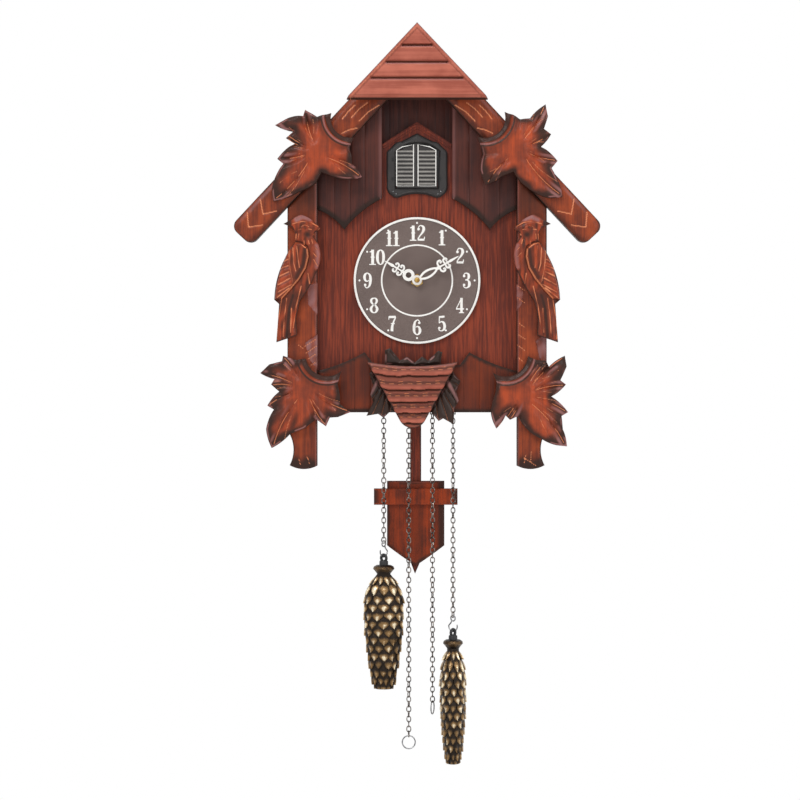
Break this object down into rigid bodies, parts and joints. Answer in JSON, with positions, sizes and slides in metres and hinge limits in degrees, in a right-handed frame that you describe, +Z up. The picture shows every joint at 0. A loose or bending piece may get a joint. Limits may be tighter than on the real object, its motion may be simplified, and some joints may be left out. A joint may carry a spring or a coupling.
{
  "type": "pendulum wall clock",
  "caption": "Chalet-style carved wooden wall clock with quartz hands, swinging pendulum, cuckoo behind louvred shutters, and cone weights on chains.",
  "frame": {"origin": "centre of the keyhole in the hanger plate, in the plane of the wall", "axes": "+Z up along the clock's height, +Y into the wall (the way the wall screw leaves the keyhole), +X to the right of someone facing the dial"},
  "size_m": [0.3378, 0.1277, 0.6894],
  "materials": {
    "case_wood": "brown stained plywood, satin lacquer",
    "stained_wood": "red-brown stained wood with a fine upright grain, satin lacquer",
    "dark_planks": "dark red-brown stained planks, satin lacquer",
    "red_planks": "red-brown planks with darkened edges, satin lacquer",
    "carved_wood": "red-brown stained wood with pale chip cuts, satin lacquer",
    "cap_wood": "lighter red-brown stained wood, satin lacquer",
    "leaf_wood": "carved wood, orange-brown in the middle and burnt dark at the edges",
    "dark_wood": "burnt dark carved wood",
    "pendulum_wood": "dark red stained wood with burnt edges",
    "dial_plastic": "dark taupe dial with white printed numbers",
    "door_plastic": "dark grey moulded plastic",
    "black_plastic": "black moulded plastic",
    "bird_plastic": "painted moulded plastic",
    "hand_enamel": "white enamel",
    "brass_trim": "polished brass",
    "zinc_steel": "bright zinc plate",
    "antique_steel": "antique dark nickel plate",
    "bronze_cast": "antique bronze finish over moulded scales, rubbed gold on the edges",
    "battery_foil": "plain printed foil"
  },
  "bodies": {
    "case": {"back_panel": "case_wood", "case_side_left": "case_wood", "case_side_right": "case_wood", "case_floor": "case_wood", "roof_board_left": "case_wood", "roof_board_right": "case_wood", "hanger_plate": "zinc_steel", "front_board": "stained_wood", "gable_board": "dark_planks", "plank_panel_left": "dark_planks", "plank_panel_right": "dark_planks", "lower_panel": "red_planks", "post_left": "carved_wood", "post_right": "carved_wood", "rafter_left": "carved_wood", "rafter_right": "carved_wood", "hip_cap": "cap_wood", "leaf_upper_left": "leaf_wood", "leaf_upper_right": "leaf_wood", "leaf_lower_left": "leaf_wood", "leaf_lower_right": "leaf_wood", "woodpecker_left": "leaf_wood", "woodpecker_right": "leaf_wood", "apron": "cap_wood", "apron_crest": "dark_wood", "apron_leaves": "dark_wood", "dial_plate": "dial_plastic", "dial_nut": "brass_trim", "quartz_movement": "black_plastic", "battery": "battery_foil", "speaker": "black_plastic", "door_surround": "door_plastic", "cuckoo_shelf": "black_plastic", "pendulum_drive": "black_plastic", "chain_eyes": "antique_steel"},
    "minute": {"minute_hand": "hand_enamel", "hand_nut": "brass_trim", "set_knob": "black_plastic"},
    "hour": {"hour_hand": "hand_enamel"},
    "cuckoo": {"cuckoo": "bird_plastic", "cuckoo_slider": "black_plastic"},
    "shutter_left": {"shutter_left": "door_plastic"},
    "shutter_right": {"shutter_right": "door_plastic"},
    "battery_door": {"battery_door": "case_wood"},
    "pendulum": {"pendulum_hanger": "zinc_steel", "pendulum_rod": "stained_wood", "pendulum_bob": "pendulum_wood", "pendulum_bar": "pendulum_wood"},
    "left_chain": {"chain_left": "antique_steel", "s_hook_left": "zinc_steel"},
    "left_weight": {"weight_plug_left": "black_plastic", "cone_left": "bronze_cast"},
    "right_chain": {"chain_right": "antique_steel", "s_hook_right": "zinc_steel"},
    "right_weight": {"weight_plug_right": "black_plastic", "cone_right": "bronze_cast"},
    "left_pull": {"pull_chain_left": "antique_steel", "pull_ring_left": "antique_steel"},
    "right_pull": {"pull_chain_right": "antique_steel", "pull_ring_right": "antique_steel"}
  },
  "joints": [
    {"name": "minute_turn", "type": "hinge", "parent": "case", "child": "minute", "pos_m": [0, 0, -0.1449], "axis": [0, 1, 0], "continuous": true},
    {"name": "hour_turn", "type": "hinge", "parent": "case", "child": "hour", "pos_m": [0, 0, -0.1449], "axis": [0, 1, 0], "continuous": true},
    {"name": "pendulum_swing", "type": "hinge", "parent": "case", "child": "pendulum", "pos_m": [-0.001, 0, -0.186], "axis": [0, 1, 0], "range_deg": [-6, 6]},
    {"name": "cuckoo_slide", "type": "slide", "parent": "case", "child": "cuckoo", "axis": [0, -1, 0], "range_m": [0, 0.028]},
    {"name": "shutter_left_turn", "type": "hinge", "parent": "case", "child": "shutter_left", "pos_m": [-0.0186, -0.094, -0.04], "axis": [0, 0, -1], "range_deg": [0, 92]},
    {"name": "shutter_right_turn", "type": "hinge", "parent": "case", "child": "shutter_right", "pos_m": [0.0186, -0.094, -0.04], "axis": [0, 0, 1], "range_deg": [0, 92]},
    {"name": "battery_door_turn", "type": "hinge", "parent": "case", "child": "battery_door", "pos_m": [0.0315, -0.0015, -0.1449], "axis": [0, 0, -1], "range_deg": [0, 90]},
    {"name": "left_chain_swing", "type": "hinge", "parent": "case", "child": "left_chain", "pos_m": [-0.031, -0.077, -0.26887], "axis": [1, 0, 0], "range_deg": [-6, 1.5]},
    {"name": "left_weight_turn", "type": "hinge", "parent": "left_chain", "child": "left_weight", "pos_m": [-0.031, -0.077, -0.405], "axis": [0, 0, 1], "range_deg": [-8, 8]},
    {"name": "right_chain_swing", "type": "hinge", "parent": "case", "child": "right_chain", "pos_m": [0.0338, -0.077, -0.26887], "axis": [1, 0, 0], "range_deg": [-6, 1.5]},
    {"name": "right_weight_turn", "type": "hinge", "parent": "right_chain", "child": "right_weight", "pos_m": [0.0338, -0.077, -0.475], "axis": [0, 0, 1], "range_deg": [-8, 8]},
    {"name": "left_pull_swing", "type": "hinge", "parent": "case", "child": "left_pull", "pos_m": [-0.0076, -0.077, -0.26887], "axis": [1, 0, 0], "range_deg": [-6, 1.5]},
    {"name": "right_pull_swing", "type": "hinge", "parent": "case", "child": "right_pull", "pos_m": [0.0146, -0.077, -0.26887], "axis": [1, 0, 0], "range_deg": [-6, 1.5]}
  ],
  "couplings": [
    {"joint": "hour_turn", "follows": "minute_turn", "ratio": 0.083333},
    {"joint": "shutter_left_turn", "follows": "cuckoo_slide", "rad_per_m": 56},
    {"joint": "shutter_right_turn", "follows": "cuckoo_slide", "rad_per_m": 56}
  ]
}
